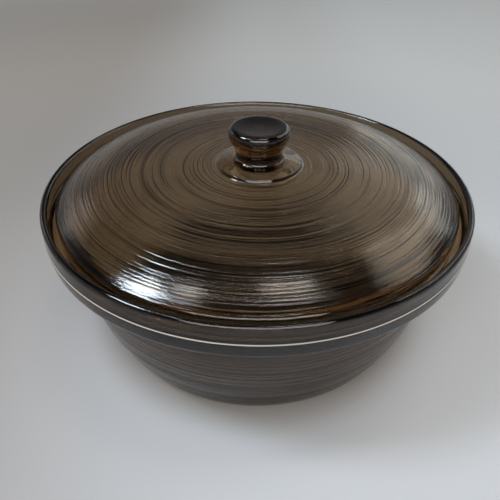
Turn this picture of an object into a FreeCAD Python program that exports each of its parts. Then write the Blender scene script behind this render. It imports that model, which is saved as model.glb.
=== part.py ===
import FreeCAD, Part
import math
import os

import Sketcher

# Smoked glass casserole dish with its lid. Both pieces are turned forms about the Z axis.
# The dish stands on Z = 0 with its axis on the origin. All sizes are in millimetres.

SIZES = {
    # dish, outside
    "dish_height": 96.4,
    "collar_radius": 126.0,
    "collar_height": 20.0,
    "collar_wall": 4.2,
    "collar_edge_round": 4.0,
    "collar_overhang": 13.7,
    "overhang_round": 8.0,
    "wall_lean": 17.8,
    "base_round": 3.5,
    "foot_ring_width": 8.0,
    "foot_recess": 1.2,
    # dish, inside
    "ledge_depth": 11.4,
    "ledge_corner_round": 3.2,
    "mouth_round": 2.0,
    "bowl_wall": 5.0,
    "floor_thickness": 6.0,
    "floor_round": 20.0,
    # rings on the wall of the dish
    "wall_rings_start": 6.0,
    "plain_band": 14.4,
    "wall_ring_count": 12,
    # rings in general: their crests lie a little below the plain glass beside them
    "ring_depth": 0.9,
    "ring_crest_drop": 0.1,
    # lid
    "lid_clearance": 3.8,
    "lid_foot_width": 5.0,
    "lid_foot_lean": 1.0,
    "lid_wall": 4.5,
    "lid_edge_height": 7.2,
    "lid_edge_round": 1.0,
    "lid_edge_rise": 1.7,
    "shoulder_width": 39.0,
    "shoulder_rise": 11.1,
    "crown_rise": 1.2,
    "shoulder_ring_count": 7,
    "crown_ring_count": 8,
    "ring_margin": 3.0,
    # disc and knob, in one with the lid
    "disc_radius": 26.8,
    "disc_cove": 1.8,
    "disc_height": 1.8,
    "disc_slope": 2.6,
    "disc_wall": 6.0,
    "neck_radius": 13.9,
    "neck_flare": 1.0,
    "neck_height": 1.9,
    "knob_radius": 17.8,
    "knob_under_rise": 13.1,
    "knob_side": 0.5,
    "knob_edge_round": 3.2,
    "knob_dip": 0.7,
}

doc = FreeCAD.newDocument("casserole")
sheet = doc.addObject("Spreadsheet::Sheet", "Sizes")
for row, (alias, size) in enumerate(SIZES.items(), start=1):
    sheet.set("A%d" % row, alias)
    sheet.set("B%d" % row, str(size))
    sheet.setAlias("B%d" % row, alias)
doc.recompute()


def size_of(expression):
    """The number that an expression of the sheet's sizes gives."""
    return float(sheet.evalExpression(expression))


def cell(alias):
    return "Sizes." + alias


class Section:
    """A closed outline beside the Z axis, in the XZ plane. Each point is a pair of expressions,
    radius and height, and the point where a run starts is bound to them. An arc is fixed by its two
    ends and by the one end where it runs level or upright."""

    def __init__(self, body, name, radius, height):
        plane = next(f for f in body.Origin.OriginFeatures if f.Role == "XZ_Plane")
        self.sketch = body.newObject("Sketcher::SketchObject", name)
        self.sketch.AttachmentSupport = (plane, [""])
        self.sketch.MapMode = "FlatFace"
        self.start = self.end = (radius, height)
        self.runs = []

    def place(self, point):
        return FreeCAD.Vector(size_of(point[0]), size_of(point[1]), 0)

    def line(self, radius, height):
        """A straight run to the next point."""
        target = (radius, height)
        geometry = self.sketch.addGeometry(Part.LineSegment(self.place(self.end), self.place(target)))
        self.runs.append((geometry, 1, 2, self.end))
        self.end = target
        return self

    def arc(self, radius, height, known):
        """A round run to the next point. known is its end with a known tangent, from or to, and that
        tangent, level or upright."""
        which, tangent = known.split()
        target = (radius, height)
        first, last = self.place(self.end), self.place(target)
        near, far = (first, last) if which == "from" else (last, first)
        if tangent == "level":
            across, along = far.x - near.x, far.y - near.y
            centre = FreeCAD.Vector(near.x, near.y + (across ** 2 + along ** 2) / (2 * along), 0)
        else:
            across, along = far.y - near.y, far.x - near.x
            centre = FreeCAD.Vector(near.x + (across ** 2 + along ** 2) / (2 * along), near.y, 0)
        begin = math.atan2(first.y - centre.y, first.x - centre.x)
        turn = math.atan2(last.y - centre.y, last.x - centre.x) - begin
        turn = (turn + math.pi) % (2 * math.pi) - math.pi
        circle = Part.Circle(centre, FreeCAD.Vector(0, 0, 1), (first - centre).Length)
        if turn > 0:
            geometry = self.sketch.addGeometry(Part.ArcOfCircle(circle, begin, begin + turn))
            head, tail = 1, 2
        else:
            geometry = self.sketch.addGeometry(Part.ArcOfCircle(circle, begin + turn, begin))
            head, tail = 2, 1
        rule = "Vertical" if tangent == "level" else "Horizontal"
        known_end = head if which == "from" else tail
        self.sketch.addConstraint(Sketcher.Constraint(rule, geometry, 3, geometry, known_end))
        self.runs.append((geometry, head, tail, self.end))
        self.end = target
        return self

    def close(self):
        """Joins the runs into a ring and binds each run's start to its expressions."""
        self.line(*self.start)
        for (geometry, head, tail, at), following in zip(self.runs, self.runs[1:] + self.runs[:1]):
            self.sketch.addConstraint(
                Sketcher.Constraint("Coincident", geometry, tail, following[0], following[1]))
            self.bind("DistanceX", -2, geometry, head, at[0])
            self.bind("DistanceY", -1, geometry, head, at[1])
        return self.sketch

    def bind(self, direction, axis, geometry, end, expression):
        """Sets one coordinate of a point, which lies on an axis where its expression is 0."""
        if expression == "0":
            self.sketch.addConstraint(Sketcher.Constraint("PointOnObject", geometry, end, axis))
            return
        distance = Sketcher.Constraint(direction, -1, 1, geometry, end, size_of(expression))
        index = self.sketch.addConstraint(distance)
        self.sketch.setExpression("Constraints[%d]" % index, expression)


def turned(body, kind, name, sketch):
    """A full turn of the sketch about the Z axis, which adds glass or cuts it away."""
    feature = body.newObject("PartDesign::" + kind, name)
    feature.Profile = sketch
    feature.ReferenceAxis = (sketch, ["V_Axis"])
    feature.Angle = 360
    doc.recompute()
    return feature


def cut(body, name, sketch):
    """A groove all round, which has to take some glass away."""
    before = body.Shape.Volume
    turned(body, "Groove", name, sketch)
    if not body.Shape.Volume < before:
        raise RuntimeError(name + " cuts nothing")


def new_body(label):
    body = doc.addObject("PartDesign::Body", label)
    body.Label = label
    return body


# Heights and radii of the dish that several outlines share, as expressions of the sheet's sizes
rim = cell("dish_height")
collar = cell("collar_radius")
collar_bottom = f"({rim} - {cell('collar_height')})"
collar_inside = f"({collar} - {cell('collar_wall')})"
ledge = f"({rim} - {cell('ledge_depth')})"
body_radius = f"({collar} - {cell('collar_overhang')})"
wall_top = f"({collar_bottom} - {cell('overhang_round')})"
mouth = f"({body_radius} - {cell('bowl_wall')})"
floor = cell("floor_thickness")

# The wall is one arc that runs upright at wall_top and leans in by wall_lean down to the base.
wall_arc = f"(({cell('wall_lean')}^2 + {wall_top}^2) / (2 * {cell('wall_lean')}))"
wall_centre = f"({body_radius} - {wall_arc})"


def wall_radius(height, inset="0"):
    """Radius of the wall's arc at a height, or of the arc that lies inset inside it."""
    return f"({wall_centre} + sqrt(({wall_arc} - {inset})^2 - ({wall_top} - {height})^2))"


def wall_corner(level, rounding, inset="0"):
    """Where a corner rounding leaves a level floor, and where it meets the wall's arc smoothly."""
    reach = f"({wall_arc} - {inset})"
    short = f"({reach} - {rounding})"
    drop = f"({wall_top} - {level} - {rounding})"
    floor_end = f"({wall_centre} + sqrt({short}^2 - {drop}^2))"
    wall_end = (f"({wall_centre} + ({floor_end} - {wall_centre}) * {reach} / {short})",
                f"({wall_top} - {drop} * {reach} / {short})")
    return (floor_end, level), wall_end


def ring_outline(body, name, count, surface, outward):
    """Zigzag outline of cut rings. surface(share) gives a point of the plain surface, as radius and
    height, at a share of the ringed stretch, and outward is the direction in which the surface faces."""
    depth = cell("ring_depth")
    crest = cell("ring_crest_drop")

    def at(share, into):
        radius, height = surface(share)
        return (f"({radius} - {outward[0]} * {into})", f"({height} - {outward[1]} * {into})")

    clear = f"-({depth} + 2)"
    outline = Section(body, name, *at(0, clear))
    outline.line(*at(0, "0"))
    for index in range(count):
        outline.line(*at((index + 0.5) / count, depth))
        if index < count - 1:
            outline.line(*at((index + 1) / count, crest))
    outline.line(*at(1, "0"))
    outline.line(*at(1, clear))
    return outline.close()


def make_dish():
    dish = new_body("dish")
    edge = cell("collar_edge_round")
    bead = f"({cell('collar_wall')} / 2)"
    base_end, base_wall = wall_corner("0", cell("base_round"))

    outside = Section(dish, "dish_outside", "0", "0")
    outside.line(base_end[0], "0")
    outside.arc(*base_wall, "from level")
    outside.arc(body_radius, wall_top, "to upright")
    outside.arc(f"{body_radius} + {cell('overhang_round')}", collar_bottom, "from upright")
    outside.line(f"{collar} - {edge}", collar_bottom)
    outside.arc(collar, f"{collar_bottom} + {edge}", "from level")
    outside.line(collar, f"{rim} - {bead}")
    outside.arc(f"{collar} - {bead}", rim, "from upright")
    outside.line("0", rim)
    turned(dish, "Revolution", "dish_blank", outside.close())

    # The bowl and, above it, the collar's inside with the ledge that carries the lid
    corner = cell("ledge_corner_round")
    lip = cell("mouth_round")
    floor_end, floor_wall = wall_corner(floor, cell("floor_round"), cell("bowl_wall"))
    inside = Section(dish, "dish_inside", "0", floor)
    inside.line(*floor_end)
    inside.arc(*floor_wall, "from level")
    inside.arc(mouth, wall_top, "to upright")
    inside.line(mouth, f"{ledge} - {lip}")
    inside.arc(f"{mouth} + {lip}", ledge, "from upright")
    inside.line(f"{collar_inside} - {corner}", ledge)
    inside.arc(collar_inside, f"{ledge} + {corner}", "from level")
    inside.line(collar_inside, f"{rim} - {bead}")
    inside.arc(f"{collar_inside} + {bead}", rim, "from upright")
    inside.line(f"{collar_inside} + {bead}", f"{rim} + 1")
    inside.line("0", f"{rim} + 1")
    cut(dish, "bowl", inside.close())

    # A foot ring is left round a shallow recess in the base.
    recess_radius = f"({base_end[0]} - {cell('foot_ring_width')})"
    recess = Section(dish, "dish_recess", "0", "0")
    recess.line(recess_radius, "0")
    recess.line(f"{recess_radius} - {cell('foot_recess')}", cell("foot_recess"))
    recess.line("0", cell("foot_recess"))
    cut(dish, "foot_recess", recess.close())

    # The rings stop a plain band short of the place where the wall runs upright.
    start, end = cell("wall_rings_start"), f"({wall_top} - {cell('plain_band')})"

    def wall_point(share):
        height = f"({start} + ({end} - {start}) * {share})"
        return wall_radius(height), height

    rings = ring_outline(dish, "wall_rings_outline", SIZES["wall_ring_count"], wall_point, (1, 0))
    cut(dish, "wall_rings", rings)
    return dish


# Heights and radii of the lid: it stands on the ledge, inside the collar
foot_outside = f"({collar_inside} - {cell('lid_clearance')})"
foot_inside = f"({foot_outside} - {cell('lid_foot_width')})"
foot_top = f"({ledge} + {cell('lid_edge_height')})"
edge_radius = f"({foot_outside} - {cell('lid_edge_round')})"
edge_height = f"({foot_top} + {cell('lid_edge_rise')})"
crown_radius = f"({edge_radius} - {cell('shoulder_width')})"
crown_height = f"({edge_height} + {cell('shoulder_rise')})"
crown_middle = f"({crown_height} + {cell('crown_rise')})"
shoulder_arc = f"(({cell('shoulder_width')}^2 + {cell('shoulder_rise')}^2) / (2 * {cell('shoulder_rise')}))"
disc = cell("disc_radius")
disc_edge = f"({crown_middle} + {cell('disc_height')})"
disc_middle = f"({disc_edge} + {cell('disc_slope')})"
neck_foot = f"({cell('neck_radius')} + {cell('neck_flare')})"


def make_lid():
    lid = new_body("lid")
    wall = cell("lid_wall")

    outside = Section(lid, "lid_outside", "0", ledge)
    outside.line(foot_outside, ledge)
    outside.line(foot_outside, foot_top)
    outside.arc(edge_radius, edge_height, "from upright")
    outside.arc(crown_radius, crown_height, "to level")
    outside.line(disc, crown_middle)
    outside.line("0", crown_middle)
    turned(lid, "Revolution", "lid_blank", outside.close())

    # The hollow side keeps the wall's thickness under the shoulder and the crown, and follows the disc.
    inner_edge = f"({foot_inside} - {cell('lid_foot_lean')})"
    inner_rise = f"sqrt(({shoulder_arc} - {wall})^2 - ({inner_edge} - {crown_radius})^2)"
    inner_edge_height = f"({crown_height} - {shoulder_arc} + {inner_rise})"
    hollow = Section(lid, "lid_inside", "0", f"{ledge} - 1")
    hollow.line(foot_inside, f"{ledge} - 1")
    hollow.line(foot_inside, ledge)
    hollow.line(inner_edge, inner_edge_height)
    hollow.arc(crown_radius, f"{crown_height} - {wall}", "to level")
    hollow.line(disc, f"{crown_middle} - {wall}")
    hollow.line(neck_foot, f"{disc_middle} - {cell('disc_wall')}")
    hollow.line("0", f"{disc_middle} - {cell('disc_wall')}")
    cut(lid, "lid_hollow", hollow.close())

    add_knob(lid)

    margin = cell("ring_margin")

    def shoulder_point(share):
        across = f"(({cell('shoulder_width')} - {margin}) * {share})"
        fall = f"({shoulder_arc} - sqrt({shoulder_arc}^2 - {across}^2))"
        return f"({crown_radius} + {across})", f"({crown_height} - {fall})"

    def crown_point(share):
        stretch = f"({crown_radius} - {disc} - {margin})"
        across = f"({stretch} * {share})"
        slope = f"({cell('crown_rise')} / ({crown_radius} - {disc}))"
        return f"({disc} + {margin} + {across})", f"({crown_middle} - ({margin} + {across}) * {slope})"

    crown = ring_outline(lid, "crown_rings_outline", SIZES["crown_ring_count"], crown_point, (0, 1))
    cut(lid, "crown_rings", crown)
    shoulder = ring_outline(lid, "shoulder_rings_outline", SIZES["shoulder_ring_count"], shoulder_point, (0, 1))
    cut(lid, "shoulder_rings", shoulder)
    return lid


def add_knob(lid):
    """The smooth disc in the middle of the lid, the neck on it and the round flat knob."""
    neck = cell("neck_radius")
    knob = cell("knob_radius")
    edge = cell("knob_edge_round")
    neck_top = f"({disc_middle} + {cell('neck_height')})"
    knob_bottom = f"({neck_top} + {cell('knob_under_rise')})"
    knob_side_top = f"({knob_bottom} + {cell('knob_side')})"
    knob_top = f"({knob_side_top} + {edge})"
    half_width = f"(({knob} + {neck}) / 2)"
    half_height = f"(({knob_bottom} + {neck_top}) / 2)"

    outline = Section(lid, "knob_outline", "0", f"{crown_middle} - 2")
    outline.line(disc, f"{crown_middle} - 2")
    outline.line(disc, crown_middle)
    outline.arc(f"{disc} - {cell('disc_cove')}", disc_edge, "from level")
    outline.line(neck_foot, disc_middle)
    outline.arc(neck, neck_top, "to upright")
    outline.arc(half_width, half_height, "from upright")
    outline.arc(knob, knob_bottom, "to upright")
    outline.line(knob, knob_side_top)
    outline.arc(f"{knob} - {edge}", knob_top, "from upright")
    outline.arc("0", f"{knob_top} - {cell('knob_dip')}", "to level")
    turned(lid, "Revolution", "disc_and_knob", outline.close())


pieces = [make_dish(), make_lid()]
doc.recompute()

for item in doc.Objects:
    if "Invalid" in item.State or "Error" in item.State:
        raise RuntimeError("%s could not be built" % item.Name)
for piece in pieces:
    if piece.Shape.isNull() or not piece.Shape.isValid() or len(piece.Shape.Solids) != 1:
        raise RuntimeError("%s is not one sound solid" % piece.Label)

os.makedirs("parts", exist_ok=True)
for piece in pieces:
    piece.Shape.exportStep("parts/%s.step" % piece.Label)
    box = piece.Shape.optimalBoundingBox(False)
    print("%s: %.1f x %.1f x %.1f mm, bottom at %.1f, %.0f cm3" % (
        piece.Label, box.XLength, box.YLength, box.ZLength, box.ZMin, piece.Shape.Volume / 1000))
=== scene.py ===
import math

import bpy
import numpy as np
from mathutils import Matrix, Vector


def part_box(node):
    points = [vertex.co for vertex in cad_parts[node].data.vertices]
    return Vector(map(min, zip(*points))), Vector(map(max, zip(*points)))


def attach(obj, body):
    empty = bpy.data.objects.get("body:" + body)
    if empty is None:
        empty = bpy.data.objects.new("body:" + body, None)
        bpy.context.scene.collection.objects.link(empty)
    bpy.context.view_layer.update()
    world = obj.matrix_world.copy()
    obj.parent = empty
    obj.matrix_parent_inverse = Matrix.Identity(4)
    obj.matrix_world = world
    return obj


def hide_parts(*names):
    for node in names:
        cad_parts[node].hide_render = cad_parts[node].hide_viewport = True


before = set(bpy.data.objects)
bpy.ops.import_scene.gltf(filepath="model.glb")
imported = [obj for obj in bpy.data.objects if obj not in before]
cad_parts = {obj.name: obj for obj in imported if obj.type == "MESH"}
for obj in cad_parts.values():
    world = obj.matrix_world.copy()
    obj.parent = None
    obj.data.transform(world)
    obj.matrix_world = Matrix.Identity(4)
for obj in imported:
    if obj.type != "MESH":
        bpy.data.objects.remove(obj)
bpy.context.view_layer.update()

MM = 0.001
_, dish_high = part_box("dish")
lid_low, lid_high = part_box("lid")

# Dish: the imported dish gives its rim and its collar's radius, and the lid's foot gives the ledge
RIM = dish_high.z
COLLAR = dish_high.x
COLLAR_WALL = 4.2 * MM
COLLAR_INSIDE = COLLAR - COLLAR_WALL
COLLAR_BEAD = COLLAR_WALL / 2
COLLAR_HEIGHT = 20.0 * MM
COLLAR_BOTTOM = RIM - COLLAR_HEIGHT
COLLAR_EDGE_ROUND = 4.0 * MM
COLLAR_OVERHANG = 13.7 * MM
LEDGE = lid_low.z
LEDGE_CORNER_ROUND = 3.2 * MM
BODY = COLLAR - COLLAR_OVERHANG
OVERHANG_ROUND = 8.0 * MM
BOWL_WALL = 5.0 * MM
MOUTH_ROUND = 2.0 * MM
WALL_TOP = COLLAR_BOTTOM - OVERHANG_ROUND
WALL_LEAN = 17.8 * MM
BOWL_FLOOR = 6.0 * MM
BOWL_FLOOR_ROUND = 20.0 * MM
BASE_ROUND = 3.5 * MM
FOOT_RING_WIDTH = 8.0 * MM
FOOT_RECESS = 1.2 * MM

# The wall's rings start at this height and stop a plain band under the overhang
WALL_RINGS_START = 6.0 * MM
PLAIN_BAND = 2.0 * MM

# The mould's seam is a low ridge round the collar, steep above and drawn out below. It is drawn
# higher by what the easing takes off.
SEAM_HEIGHT = COLLAR_BOTTOM + 9.9 * MM
SEAM_RISE = 0.45 * MM
SEAM_STEEP_SIDE = 0.5 * MM
SEAM_ALLOWANCE = 0.10 * MM

# Lid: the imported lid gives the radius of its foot, and its own sizes the rest
LID_FOOT = lid_high.x
LID_FOOT_WIDTH = 5.0 * MM
LID_FOOT_LEAN = 1.0 * MM
LID_WALL = 4.5 * MM
FLANK_HEIGHT = 7.2 * MM
FLANK_TOP = LEDGE + FLANK_HEIGHT
LID_EDGE_ROUND = 1.0 * MM
LID_EDGE_RISE = 1.7 * MM
LID_EDGE = LID_FOOT - LID_EDGE_ROUND
LID_EDGE_HEIGHT = FLANK_TOP + LID_EDGE_RISE
SHOULDER_WIDTH = 39.0 * MM
SHOULDER_RISE = 11.1 * MM
CROWN = LID_EDGE - SHOULDER_WIDTH
CROWN_HEIGHT = LID_EDGE_HEIGHT + SHOULDER_RISE
CROWN_RISE = 1.2 * MM
CROWN_MIDDLE = CROWN_HEIGHT + CROWN_RISE

# Disc and knob, down from the knob's top
KNOB_TOP = lid_high.z
KNOB = 17.8 * MM
KNOB_EDGE_ROUND = 3.2 * MM
KNOB_SIDE = 0.5 * MM
KNOB_UNDER_RISE = 13.1 * MM
KNOB_SIDE_TOP = KNOB_TOP - KNOB_EDGE_ROUND
KNOB_BOTTOM = KNOB_SIDE_TOP - KNOB_SIDE
KNOB_DIP = 0.7 * MM
NECK_TOP = KNOB_BOTTOM - KNOB_UNDER_RISE
NECK = 13.9 * MM
NECK_FLARE = 1.0 * MM
NECK_HEIGHT = 1.9 * MM
DISC = 26.8 * MM
DISC_COVE = 1.8 * MM
DISC_SLOPE = 2.6 * MM
DISC_WALL = 6.0 * MM
DISC_MIDDLE = NECK_TOP - NECK_HEIGHT
DISC_EDGE = DISC_MIDDLE - DISC_SLOPE

# Meshes: points round a turn, points along an outline, and how far corners are eased
TURNS = 160
FINE_STEP = 0.20 * MM
COARSE_STEP = 5.0 * MM
DRAWN_STEP = FINE_STEP / 2
TURN_PER_POINT = math.radians(9)
EASE = 0.45 * MM
BELL_REACH = 3

# How a run of an outline looks: ringed above 0, painted shade down to -1, and a painted highlight on
# the seam at -2
PLAIN = 0.0
RINGED = 1.0
HALF_RINGED = RINGED / 2
PAINTED_SHADE = -1.0
HALF_PAINTED_SHADE = PAINTED_SHADE / 2
THIRD_PAINTED_SHADE = PAINTED_SHADE / 3
PAINTED_SEAM_HIGHLIGHT = -2.0

# Rings: each rib has a random share of this width, and each groove one of this depth
DISH_RINGS = {"width": 1.8 * MM, "depth": 0.30 * MM, "seed": 11}
LID_RINGS = {"width": 2.0 * MM, "depth": 0.17 * MM, "seed": 5}
# Least share, range and power of a random draw
RIB_WIDTHS = (0.45, 1.1, 1.3)
GROOVE_DEPTHS = (0.25, 0.75, 1.5)
# Share of the width, waves round the turn and phase
SWAYS = ((0.12, 1, 0.7), (0.05, 3, 2))
GROOVE_FADE = 0.35
GROOVE_SHARPNESS = 9
RIB_SURPLUS = 1.6
SPARE_RIBS = 4

# Glass: absorption in the volume, and the tint, bump and roughness of its surface
DISH_GLASS = {"density": 230, "colour": (0.50, 0.30, 0.02)}
LID_GLASS = {"density": 140, "colour": (0.53, 0.34, 0.02)}
GLASS_IOR = 1.5
PLAIN_TINT = (0.88, 0.85, 0.80, 1)
# Painted shade: a dark tint for the collar's inner wall, the knob, its neck and the disc
PAINTED_SHADE_TINT = (0.13, 0.105, 0.08, 1)
# Painted highlight: a pale matt tint on the seam's ridge, which lets less light through
SEAM_HIGHLIGHT_TINT = (0.85, 0.78, 0.66, 1)
LINE_TINTS = ((0.38, (0.15, 0.12, 0.09, 1)), (0.45, (1, 1, 1, 1)))
SEAM_HIGHLIGHT_CLEARNESS = 0.55
SMOOTH_ROUGHNESS = 0.02
RINGED_ROUGHNESS = 0.075
LINES_ALONG = 900.0
LINES_ROUND = 9.0
LINES_DETAIL = 1.5
LINES_ROUGHNESS = 0.6
LINE_DEPTH = 0.08 * MM
GRAIN_SCALE = 1400.0
GRAIN_DETAIL = 2.0
GRAIN_DEPTH = 0.04 * MM

# Floor: its tone by the distance from the dish's axis in metres, with a painted shadow under the dish,
# and by how far right it lies, with painted shade on the left and painted light on the right
SHADOW_AND_DISTANCE_TONES = ((0.09, (0.26, 0.24, 0.215, 1)), (0.12, (0.53, 0.54, 0.555, 1)),
                  (0.28, (0.45, 0.455, 0.46, 1)), (0.60, (0.52, 0.515, 0.505, 1)))
# Painted shade towards the left of the floor and painted light towards the right
SIDE_SHADE_AND_LIGHT_TONES = ((0.0, (0.58, 0.53, 0.49, 1)), (0.55, (0.85, 0.85, 0.85, 1)),
              (1.0, (0.96, 0.97, 0.98, 1)))
SIDE_REACH = 0.25
PALE_FLOOR_REACH = 6.0
PALE_FLOOR_ROUGHNESS = 0.9
PALE_FLOOR_GLOSS = 0.2

# Backdrop and the dim room above it: brightness, and height as the sine of the elevation
BACKDROP = 0.40
BACKDROP_TOP = 0.10
BACKDROP_COLOUR = (0.99, 0.99, 1.0, 1)
ROOM = 0.05
ROOM_START = 0.66
# Distances between which the floor runs out into the backdrop
FAR_START = 0.8
FAR_END = 1.8

# Lamps: name, azimuth and elevation in degrees, distance, width and height in metres, brightness
# and colour
LAMPS = (
    ("window", -94, 52.5, 2.6, 0.57, 0.62, 32, (0.76, 0.88, 1.0)),
    ("window_top", -99, 67, 2.6, 0.46, 0.42, 7, (0.90, 0.95, 1.0)),
    ("window_frame", -102, 52, 2.7, 1.3, 1.1, 0.7, (0.75, 0.88, 1.0)),
    ("window_low", -53, 23, 2.0, 0.60, 0.45, 0.8, (1.0, 0.90, 0.80)),
    ("ceiling_strip", 180, 87, 1.3, 1.0, 0.045, 7, (1.0, 0.98, 0.96)),
    ("ceiling_right", 80, 81, 1.3, 0.26, 0.34, 6, (1.0, 0.98, 0.96)),
    ("right", 63, 43, 2.0, 1.2, 0.8, 1.6, (1.0, 0.97, 0.88)),
    ("right_low", 48, 24, 1.6, 0.60, 0.34, 1.6, (0.92, 1.0, 1.0)),
    ("back_right", 36, 33, 1.6, 1.1, 0.55, 0.42, (1.0, 0.97, 0.90)),
    ("far_right", 28, 16, 1.6, 0.7, 0.55, 0.7, (0.82, 0.94, 1.0)),
    ("back_high", 8, 54, 1.6, 1.5, 0.30, 0.9, (1.0, 0.76, 0.48)),
    ("key", 180, 38, 1.0, 1.1, 0.6, 5.0, (1.0, 0.99, 0.98)),
)

# Camera, as the photograph was taken: it stands in front of the dish and above it
CAMERA_PLACE = Vector((0.0, -268.0 * MM, 246.0 * MM))
CAMERA_PITCH = 0.652
CAMERA_YAW = 0.0171
CAMERA_ROLL = 0.0211
CAMERA_LENS = 36.01
CAMERA_SENSOR = 36
CAMERA_SHIFT = (-0.030, -0.0013)
CAMERA_CLIP = (0.01, 50)


class Outline:
    """Half of a section beside the Z axis, drawn as runs and sampled closely. It is drawn with the
    glass on its right hand, so that the faces made from it point out of the glass."""

    def __init__(self, radius, height):
        self.points = np.array([[radius, height]])
        self.looks = np.zeros(1)

    def add(self, points, look):
        """Points of one more run, which all have the same look."""
        self.points = np.vstack([self.points, points])
        self.looks = np.append(self.looks, np.full(len(points), look))

    def line(self, radius, height, look=PLAIN):
        """A straight run to the next point."""
        start, end = self.points[-1], np.array([radius, height])
        count = max(2, math.ceil(np.hypot(*(end - start)) / DRAWN_STEP))
        share = np.linspace(0, 1, count + 1)[1:, None]
        self.add(start + (end - start) * share, look)

    def arc(self, radius, height, known, look=PLAIN):
        """A round run to the next point. known says at which end, from or to, its tangent is known,
        and whether it is level or upright there. The centre lies square to that tangent, as far
        from one end as from the other."""
        which, tangent = known.split()
        first, last = self.points[-1], np.array([radius, height])
        near, far = (first, last) if which == "from" else (last, first)
        across = far - near
        square = 1 if tangent == "level" else 0
        centre = near.copy()
        centre[square] += across.dot(across) / (2 * across[square])
        reach = np.hypot(*(first - centre))
        begin = math.atan2(first[1] - centre[1], first[0] - centre[0])
        turn = math.atan2(last[1] - centre[1], last[0] - centre[0]) - begin
        turn = (turn + math.pi) % (2 * math.pi) - math.pi
        count = max(4, math.ceil(abs(turn) * reach / DRAWN_STEP))
        angle = begin + turn * np.linspace(0, 1, count + 1)[1:]
        self.add(centre + reach * np.column_stack([np.cos(angle), np.sin(angle)]), look)

    def eased(self):
        """The outline with its corners eased, and with points only as close as its bends and its
        rings need. The easing is a running mean, weighted by a bell curve of the arc length. The
        points kept are where the sum of length, turning and ringed length passes a whole number."""
        steps = np.hypot(*np.diff(self.points, axis=0).T)
        length = np.append(0, np.cumsum(steps))
        even = np.linspace(0, length[-1], math.ceil(length[-1] / DRAWN_STEP))
        spacing = even[1]
        reach = math.ceil(BELL_REACH * EASE / spacing)
        bell = np.exp(-0.5 * (np.arange(-reach, reach + 1) * spacing / EASE) ** 2)
        bell /= bell.sum()
        radius, height = (np.interp(even, length, self.points[:, k]) for k in (0, 1))
        # Past the axis the outline goes on as its own mirror image.
        radius = np.pad(radius, reach, mode="reflect", reflect_type="odd")
        height = np.pad(height, reach, mode="reflect")
        smooth = np.column_stack([np.convolve(v, bell, mode="valid") for v in (radius, height)])
        looks = np.interp(even, length, self.looks)
        heading = np.unwrap(np.arctan2(*np.gradient(smooth, axis=0).T[::-1]))
        cost = spacing / COARSE_STEP + np.abs(np.gradient(heading)) / TURN_PER_POINT
        total = np.cumsum(cost + looks.clip(0) * spacing / FINE_STEP)
        keep = np.searchsorted(total, np.linspace(total[0], total[-1], math.ceil(total[-1])))
        keep = np.unique(np.clip(keep, 0, len(even) - 1))
        smooth[[0, -1], 0] = 0
        return smooth[keep], even[keep], looks[keep]


def drawn(chance, count, least, spread, power):
    """Random shares from least to least + spread. The draw's power crowds them towards the least."""
    return least + spread * chance.random(count) ** power


def ring_relief(along, angles, width, depth, seed):
    """How far the ringed surface lies below the plain one, for each place along the outline and
    each angle. The rings are low rounded ribs of uneven width between narrow grooves: across a
    rib, x runs from 0 to 1, and the relief is depth0 (1 - x)^9 + depth1 x^9, where depth0 and depth1
    are the depths of its two grooves. The grooves sway a little, and each fades and deepens once
    round the turn."""
    chance = np.random.default_rng(seed)
    first, last = along.min(), along.max()
    count = math.ceil((last - first) / width * RIB_SURPLUS) + SPARE_RIBS
    widths = width * drawn(chance, count, *RIB_WIDTHS)
    grooves = first - width + np.append(0, np.cumsum(widths))
    depths = depth * drawn(chance, len(grooves), *GROOVE_DEPTHS)
    phases = 2 * math.pi * chance.random(len(grooves))
    sway = sum(share * width * np.sin(waves * angles + phase) for share, waves, phase in SWAYS)
    place = along[:, None] + sway[None, :]
    rib = np.clip(np.searchsorted(grooves, place) - 1, 0, len(grooves) - 2)
    x = np.clip((place - grooves[rib]) / (grooves[rib + 1] - grooves[rib]), 0, 1)

    def groove_depth(index):
        return depths[index] * (1 + GROOVE_FADE * np.sin(angles[None, :] + phases[index]))

    before = groove_depth(rib) * (1 - x) ** GROOVE_SHARPNESS
    return before + groove_depth(rib + 1) * x ** GROOVE_SHARPNESS


def turned_surface(outline, rings):
    """Vertices of a turned surface, with the values that each carries for its material. The point at
    arc length s and angle a is (r cos a, r sin a, h), where r and h are the outline's radius and
    height at s, moved into the glass, square to the outline, by the rings' relief. The first and
    the last vertex lie on the axis."""
    points, along, looks = outline.eased()
    ringed = looks.clip(0)
    angles = 2 * math.pi * np.arange(TURNS) / TURNS
    heading = np.gradient(points, axis=0)
    heading /= np.hypot(*heading.T)[:, None]
    outward = np.column_stack([-heading[:, 1], heading[:, 0]])
    into = ringed[:, None] * ring_relief(along, angles, **rings)
    radius = points[:, 0, None] - into * outward[:, 0, None]
    height = points[:, 1, None] - into * outward[:, 1, None]
    grid = np.stack([radius * np.cos(angles), radius * np.sin(angles), height + 0 * angles], axis=2)
    vertices = np.vstack([grid[0, :1], grid[1:-1].reshape(-1, 3), grid[-1, :1]])
    # These values mark where the material paints shade on the glass and a highlight on the seam
    rounds = {"along": along, "ringed": ringed,
              "painted_shade": (-looks).clip(0, 1), "seam_highlight": (-looks - 1).clip(0)}
    carried = {attribute: np.concatenate([values[:1], np.repeat(values[1:-1], TURNS), values[-1:]])
               for attribute, values in rounds.items()}
    return vertices, carried


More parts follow.
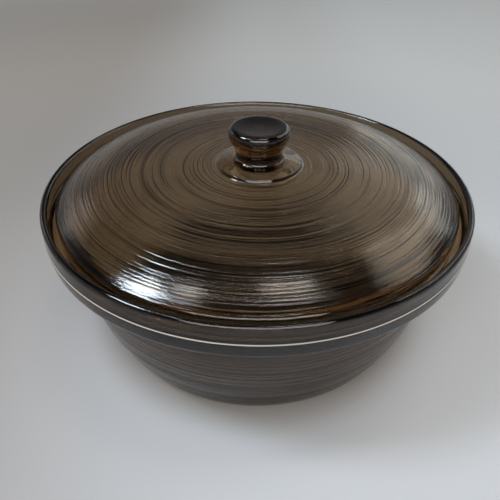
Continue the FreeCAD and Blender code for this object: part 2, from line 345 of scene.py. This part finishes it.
def turned_faces(vertex_count):
    """Corners and sizes of the faces of a turned surface: quads between neighbouring rounds of
    points, and a fan of triangles about the point on the axis at each end."""
    here = np.arange(1, vertex_count - 1).reshape(-1, TURNS)
    beside = np.roll(here, -1, axis=1)
    quads = np.stack([here[:-1], here[1:], beside[1:], beside[:-1]], axis=2).reshape(-1, 4)
    top = np.column_stack([np.zeros(TURNS, int), here[0], beside[0]])
    bottom = np.column_stack([np.full(TURNS, vertex_count - 1), beside[-1], here[-1]])
    corners = np.concatenate([quads.ravel(), top.ravel(), bottom.ravel()])
    sizes = np.concatenate([np.full(len(quads), 4), np.full(2 * TURNS, 3)])
    return corners, sizes


def turned(name, outline, rings, material, node):
    """A solid of glass made by turning its outline about the Z axis."""
    vertices, carried = turned_surface(outline, rings)
    corners, sizes = turned_faces(len(vertices))
    mesh = bpy.data.meshes.new(name)
    mesh.vertices.add(len(vertices))
    mesh.vertices.foreach_set("co", vertices.astype(np.float32).ravel())
    mesh.loops.add(len(corners))
    mesh.loops.foreach_set("vertex_index", corners.astype(np.int32))
    mesh.polygons.add(len(sizes))
    mesh.polygons.foreach_set("loop_start", (np.cumsum(sizes) - sizes).astype(np.int32))
    mesh.polygons.foreach_set("use_smooth", np.ones(len(sizes), bool))
    for attribute, values in carried.items():
        layer = mesh.attributes.new(attribute, "FLOAT", "POINT")
        layer.data.foreach_set("value", values.astype(np.float32))
    mesh.update(calc_edges=True)
    mesh.validate()
    mesh.materials.append(material)
    piece = bpy.data.objects.new(name, mesh)
    bpy.context.scene.collection.objects.link(piece)
    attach(piece, "root")
    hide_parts(node)


def wall_arc(inset=0.0):
    """Centre radius and reach of the wall's arc, which runs upright at WALL_TOP and leans in by
    WALL_LEAN down to the base: reach = (lean^2 + height^2) / (2 lean)."""
    reach = (WALL_LEAN ** 2 + WALL_TOP ** 2) / (2 * WALL_LEAN)
    return BODY - reach, reach - inset


def wall_corner(level, rounding, inset=0.0):
    """Where a corner rounding leaves a level floor, and where it meets the wall's arc smoothly. The
    rounding's centre lies the rounding above the level and as far inside the wall's arc, and the
    second point lies on the line from the arc's centre through it."""
    centre, reach = wall_arc(inset)
    drop = WALL_TOP - level - rounding
    floor_end = centre + math.sqrt((reach - rounding) ** 2 - drop ** 2)
    ratio = reach / (reach - rounding)
    return floor_end, (centre + (floor_end - centre) * ratio, WALL_TOP - drop * ratio)


def dish_outline():
    """The dish, from the middle of the bowl's floor over the rim to the middle of the base."""
    mouth = BODY - BOWL_WALL
    rings_end = WALL_TOP - PLAIN_BAND
    floor_end, floor_wall = wall_corner(BOWL_FLOOR, BOWL_FLOOR_ROUND, BOWL_WALL)
    base_end, base_wall = wall_corner(0, BASE_ROUND)
    recess = base_end - FOOT_RING_WIDTH

    outline = Outline(0, BOWL_FLOOR)
    outline.line(floor_end, BOWL_FLOOR)
    outline.arc(*floor_wall, "from level")
    outline.arc(mouth, WALL_TOP, "to upright")
    outline.line(mouth, LEDGE - MOUTH_ROUND)
    outline.arc(mouth + MOUTH_ROUND, LEDGE, "from upright")
    outline.line(COLLAR_INSIDE - LEDGE_CORNER_ROUND, LEDGE)
    outline.arc(COLLAR_INSIDE, LEDGE + LEDGE_CORNER_ROUND, "from level")
    # The collar's inner wall and bead get painted shade.
    outline.line(COLLAR_INSIDE, RIM - COLLAR_BEAD, PAINTED_SHADE)
    outline.arc(COLLAR_INSIDE + COLLAR_BEAD, RIM, "from upright", PAINTED_SHADE)
    outline.arc(COLLAR - SEAM_RISE, RIM - COLLAR_BEAD, "to upright")
    outline.line(COLLAR - SEAM_RISE, SEAM_HEIGHT + SEAM_STEEP_SIDE)
    # The seam's ridge carries a painted highlight.
    outline.line(COLLAR + SEAM_ALLOWANCE, SEAM_HEIGHT, PAINTED_SEAM_HIGHLIGHT)
    outline.line(COLLAR - SEAM_RISE, COLLAR_BOTTOM + COLLAR_EDGE_ROUND)
    outline.arc(COLLAR - COLLAR_EDGE_ROUND, COLLAR_BOTTOM, "to level")
    outline.line(BODY + OVERHANG_ROUND, COLLAR_BOTTOM)
    outline.arc(BODY, WALL_TOP, "to upright")
    # The wall goes down in three runs of one arc, and the middle one is ringed. On the arc the
    # radius is centre + sqrt(reach^2 - (WALL_TOP - height)^2).
    centre, reach = wall_arc()
    for bottom, look in ((rings_end, PLAIN), (WALL_RINGS_START, RINGED), (base_wall[1], PLAIN)):
        top = outline.points[-1, 1]
        heights = np.linspace(top, bottom, math.ceil((top - bottom) / DRAWN_STEP) + 1)[1:]
        radii = centre + np.sqrt(reach ** 2 - (WALL_TOP - heights) ** 2)
        outline.add(np.column_stack([radii, heights]), look)
    outline.arc(base_end, 0, "to level")
    outline.line(recess, 0)
    outline.line(recess - FOOT_RECESS, FOOT_RECESS)
    outline.line(0, FOOT_RECESS)
    return outline


def lid_outline():
    """The lid, from the middle of the knob's top over the foot to the middle of the hollow side. The
    shoulder's arc has the radius bend = (width^2 + rise^2) / (2 rise), and the hollow side's arc
    lies the lid's wall inside it."""
    half_width = (KNOB + NECK) / 2
    half_height = (KNOB_BOTTOM + NECK_TOP) / 2
    bend = (SHOULDER_WIDTH ** 2 + SHOULDER_RISE ** 2) / (2 * SHOULDER_RISE)
    inner_edge = LID_FOOT - LID_FOOT_WIDTH - LID_FOOT_LEAN
    inner_rise = math.sqrt((bend - LID_WALL) ** 2 - (inner_edge - CROWN) ** 2)

    outline = Outline(0, KNOB_TOP - KNOB_DIP)
    # The knob gets painted shade, its underside and neck half as much, and the disc a third.
    outline.arc(KNOB - KNOB_EDGE_ROUND, KNOB_TOP, "from level", PAINTED_SHADE)
    outline.arc(KNOB, KNOB_SIDE_TOP, "to upright", PAINTED_SHADE)
    outline.line(KNOB, KNOB_BOTTOM, PAINTED_SHADE)
    outline.arc(half_width, half_height, "from upright", HALF_PAINTED_SHADE)
    outline.arc(NECK, NECK_TOP, "to upright", HALF_PAINTED_SHADE)
    outline.arc(NECK + NECK_FLARE, DISC_MIDDLE, "from upright")
    outline.line(DISC - DISC_COVE, DISC_EDGE, THIRD_PAINTED_SHADE)
    outline.arc(DISC, CROWN_MIDDLE, "to level")
    outline.line(CROWN, CROWN_HEIGHT, RINGED)
    outline.arc(LID_EDGE, LID_EDGE_HEIGHT, "from level", RINGED)
    outline.arc(LID_FOOT, FLANK_TOP, "to upright", HALF_RINGED)
    outline.line(LID_FOOT, LEDGE)
    outline.line(LID_FOOT - LID_FOOT_WIDTH, LEDGE)
    outline.line(inner_edge, CROWN_HEIGHT - bend + inner_rise)
    outline.arc(CROWN, CROWN_HEIGHT - LID_WALL, "to level")
    outline.line(DISC, CROWN_MIDDLE - LID_WALL)
    outline.line(NECK + NECK_FLARE, DISC_MIDDLE - DISC_WALL)
    outline.line(0, DISC_MIDDLE - DISC_WALL)
    return outline


def feed(tree, socket, value):
    """Links a socket to another one, or gives it a value of its own."""
    if isinstance(value, bpy.types.NodeSocket):
        tree.links.new(value, socket)
    else:
        socket.default_value = value


def add_node(tree, kind, settings=None, **inputs):
    """A node with its settings and the values or links of its sockets."""
    made = tree.nodes.new(kind)
    for key, value in (settings or {}).items():
        setattr(made, key, value)
    for key, value in inputs.items():
        feed(tree, made.inputs[key.replace("_", " ")], value)
    return made


def calculated(tree, operation, first, second):
    """The result of a calculation with two numbers."""
    made = add_node(tree, "ShaderNodeMath", {"operation": operation})
    feed(tree, made.inputs[0], first)
    feed(tree, made.inputs[1], second)
    return made.outputs[0]


def mixed(tree, share, first, second, blend="MIX"):
    """Two colours mixed, the first alone where share is 0, or blended in another way. Inputs 6 and 7
    of the node are its colours, and output 2 is the result."""
    made = add_node(tree, "ShaderNodeMix", {"data_type": "RGBA", "blend_type": blend})
    feed(tree, made.inputs[0], share)
    feed(tree, made.inputs[6], first)
    feed(tree, made.inputs[7], second)
    return made.outputs[2]


def ramped(tree, value, stops, interpolation="LINEAR"):
    """The colour that a value has between stops, each a place and its colour, from low to high."""
    made = add_node(tree, "ShaderNodeValToRGB", Fac=value)
    made.color_ramp.interpolation = interpolation
    elements = made.color_ramp.elements
    for element, (place, colour) in ((elements[0], stops[0]), (elements[1], stops[-1])):
        element.position = place
        element.color = colour
    for place, colour in stops[1:-1]:
        elements.new(place).color = colour
    return made.outputs["Color"]


def carried_value(tree, attribute):
    """A value that the vertices of a turned surface carry."""
    return add_node(tree, "ShaderNodeAttribute", {"attribute_name": attribute}).outputs["Fac"]


def smoked_glass(name, density, colour):
    """Brown smoked glass. Its colour comes from the thickness that light passes through. Ringed
    surfaces have fine turned lines between the modelled rings and a matt grain. Runs marked for
    painted shade get a dark tint, and the mould's seam gets a pale matt tint, a painted highlight."""
    material = bpy.data.materials.new(name)
    material.use_nodes = True
    tree = material.node_tree
    tree.nodes.clear()
    ringed = carried_value(tree, "ringed")
    painted_shade = carried_value(tree, "painted_shade")
    seam_highlight = carried_value(tree, "seam_highlight")
    place = add_node(tree, "ShaderNodeTexCoord").outputs["Object"]

    # Fine turned lines: noise that runs quickly along the outline and slowly round the turn
    slow = add_node(tree, "ShaderNodeVectorMath", {"operation": "SCALE"}, Vector=place,
                    Scale=LINES_ROUND)
    quick = calculated(tree, "MULTIPLY", carried_value(tree, "along"), LINES_ALONG)
    lines = add_node(tree, "ShaderNodeTexNoise", {"noise_dimensions": "4D"}, Vector=slow.outputs[0],
                     W=quick, Scale=1.0, Detail=LINES_DETAIL, Roughness=LINES_ROUGHNESS)
    line_bump = add_node(tree, "ShaderNodeBump", Strength=ringed, Distance=LINE_DEPTH,
                         Height=lines.outputs["Fac"])

    # Matt grain of the mould
    grain = add_node(tree, "ShaderNodeTexNoise", Vector=place, Scale=GRAIN_SCALE, Detail=GRAIN_DETAIL)
    grain_bump = add_node(tree, "ShaderNodeBump", Strength=ringed, Distance=GRAIN_DEPTH,
                          Height=grain.outputs["Fac"], Normal=line_bump.outputs["Normal"])

    # The lines differ in tone, as the mould's marks hold more or less light.
    tint = mixed(tree, ringed, PLAIN_TINT, ramped(tree, lines.outputs["Fac"], LINE_TINTS))
    # Painted shade: a dark tint where a run is marked for it
    tint = mixed(tree, painted_shade, tint, PAINTED_SHADE_TINT)
    # Painted highlight: the seam gets a pale matt tint
    tint = mixed(tree, seam_highlight, tint, SEAM_HIGHLIGHT_TINT)

    clear = add_node(tree, "ShaderNodeMapRange", Value=seam_highlight, To_Min=1.0, To_Max=SEAM_HIGHLIGHT_CLEARNESS)
    roughness = add_node(tree, "ShaderNodeMapRange", Value=ringed, To_Min=SMOOTH_ROUGHNESS,
                         To_Max=RINGED_ROUGHNESS)
    surface = add_node(tree, "ShaderNodeBsdfPrincipled", Base_Color=tint,
                       Roughness=roughness.outputs[0], IOR=GLASS_IOR,
                       Transmission_Weight=clear.outputs[0], Normal=grain_bump.outputs["Normal"])
    inside = add_node(tree, "ShaderNodeVolumeAbsorption", Color=(*colour, 1), Density=density)
    add_node(tree, "ShaderNodeOutputMaterial", Surface=surface.outputs[0], Volume=inside.outputs[0])
    return material


def seen_rays(tree):
    """1 for the camera's rays and for those that gloss and glass send on, and 0 for all others."""
    path = add_node(tree, "ShaderNodeLightPath").outputs
    camera_or_gloss = calculated(tree, "MAXIMUM", path["Is Camera Ray"], path["Is Glossy Ray"])
    return calculated(tree, "MAXIMUM", camera_or_gloss, path["Is Transmission Ray"])


def floor_finish():
    """A matt pale floor, with a painted shadow under the dish, painted shade towards the left and
    painted light towards the right. The lamps don't reach far out, so there it is seen as bright as
    the backdrop."""
    material = bpy.data.materials.new("pale_floor")
    material.use_nodes = True
    tree = material.node_tree
    place = add_node(tree, "ShaderNodeTexCoord").outputs["Object"]
    distance = add_node(tree, "ShaderNodeVectorMath", {"operation": "LENGTH"},
                        Vector=place).outputs["Value"]
    across = add_node(tree, "ShaderNodeSeparateXYZ", Vector=place).outputs["X"]
    side = add_node(tree, "ShaderNodeMapRange", Value=across, From_Min=-SIDE_REACH,
                    From_Max=SIDE_REACH)
    # Painted shadow under the dish, times painted shade on the left and painted light on the right
    tone = mixed(tree, 1.0, ramped(tree, distance, SHADOW_AND_DISTANCE_TONES, "EASE"),
                 ramped(tree, side.outputs[0], SIDE_SHADE_AND_LIGHT_TONES, "EASE"), "MULTIPLY")
    shader = tree.nodes["Principled BSDF"]
    feed(tree, shader.inputs["Base Color"], tone)
    feed(tree, shader.inputs["Roughness"], PALE_FLOOR_ROUGHNESS)
    feed(tree, shader.inputs["Specular IOR Level"], PALE_FLOOR_GLOSS)

    far = add_node(tree, "ShaderNodeMapRange", {"interpolation_type": "SMOOTHSTEP"}, Value=distance,
                   From_Min=FAR_START, From_Max=FAR_END)
    seen = calculated(tree, "MULTIPLY", far.outputs[0], seen_rays(tree))
    glow = add_node(tree, "ShaderNodeEmission", Color=(BACKDROP, BACKDROP, BACKDROP, 1))
    finish = add_node(tree, "ShaderNodeMixShader", Fac=seen)
    feed(tree, finish.inputs[1], shader.outputs[0])
    feed(tree, finish.inputs[2], glow.outputs[0])
    feed(tree, tree.nodes["Material Output"].inputs["Surface"], finish.outputs[0])
    return material


def pale_floor():
    """A level square, far wider than the picture."""
    reach = PALE_FLOOR_REACH
    corners = [(-reach, -reach, 0), (reach, -reach, 0), (reach, reach, 0), (-reach, reach, 0)]
    mesh = bpy.data.meshes.new("floor")
    mesh.from_pydata(corners, [], [(0, 1, 2, 3)])
    mesh.materials.append(floor_finish())
    floor = bpy.data.objects.new("floor", mesh)
    bpy.context.scene.collection.objects.link(floor)


def backdrop():
    """A pale backdrop at the horizon, the same for every ray, which fades into a dim room above."""
    world = bpy.data.worlds.new("studio")
    world.use_nodes = True
    tree = world.node_tree
    direction = add_node(tree, "ShaderNodeTexCoord").outputs["Generated"]
    height = add_node(tree, "ShaderNodeSeparateXYZ", Vector=direction).outputs["Z"]
    surround = add_node(tree, "ShaderNodeMapRange", {"interpolation_type": "SMOOTHSTEP"},
                        Value=height, From_Min=BACKDROP_TOP, From_Max=ROOM_START,
                        To_Min=BACKDROP, To_Max=ROOM)
    background = tree.nodes["Background"]
    feed(tree, background.inputs["Color"], BACKDROP_COLOUR)
    feed(tree, background.inputs["Strength"], surround.outputs[0])
    bpy.context.scene.world = world


def soft_lamp(name, azimuth, elevation, distance, width, height, brightness, colour):
    """A rectangular lamp that faces the dish. Azimuth 0 is behind the dish and 90 to its right.
    brightness is its radiance, so its power is brightness * pi * area."""
    lamp = bpy.data.lights.new(name, "AREA")
    lamp.shape = "RECTANGLE"
    lamp.size = width
    lamp.size_y = height
    lamp.energy = brightness * math.pi * width * height
    lamp.color = colour
    across, up = math.radians(azimuth), math.radians(elevation)
    toward = Vector((math.sin(across) * math.cos(up), math.cos(across) * math.cos(up), math.sin(up)))
    holder = bpy.data.objects.new(name, lamp)
    holder.location = Vector((0, 0, RIM)) + toward * distance
    holder.rotation_euler = toward.to_track_quat("Z", "Y").to_euler()
    bpy.context.scene.collection.objects.link(holder)


def camera():
    """The camera at its place: rolled, then tilted to its pitch below level, then turned by its yaw."""
    lens = bpy.data.cameras.new("camera")
    lens.sensor_width = CAMERA_SENSOR
    lens.lens = CAMERA_LENS
    lens.shift_x, lens.shift_y = CAMERA_SHIFT
    lens.clip_start, lens.clip_end = CAMERA_CLIP
    holder = bpy.data.objects.new("camera", lens)
    turn = Matrix.Rotation(-CAMERA_YAW, 4, "Z")
    tilt = Matrix.Rotation(math.pi / 2 - CAMERA_PITCH, 4, "X")
    roll = Matrix.Rotation(CAMERA_ROLL, 4, "Z")
    holder.matrix_world = Matrix.Translation(CAMERA_PLACE) @ turn @ tilt @ roll
    bpy.context.scene.collection.objects.link(holder)
    bpy.context.scene.camera = holder


dish_glass = smoked_glass("dish_glass", **DISH_GLASS)
turned("dish_glass", dish_outline(), DISH_RINGS, dish_glass, "dish")
lid_glass = smoked_glass("lid_glass", **LID_GLASS)
turned("lid_glass", lid_outline(), LID_RINGS, lid_glass, "lid")
pale_floor()
backdrop()
for lamp in LAMPS:
    soft_lamp(*lamp)
camera()
bpy.context.scene.view_settings.view_transform = "Standard"
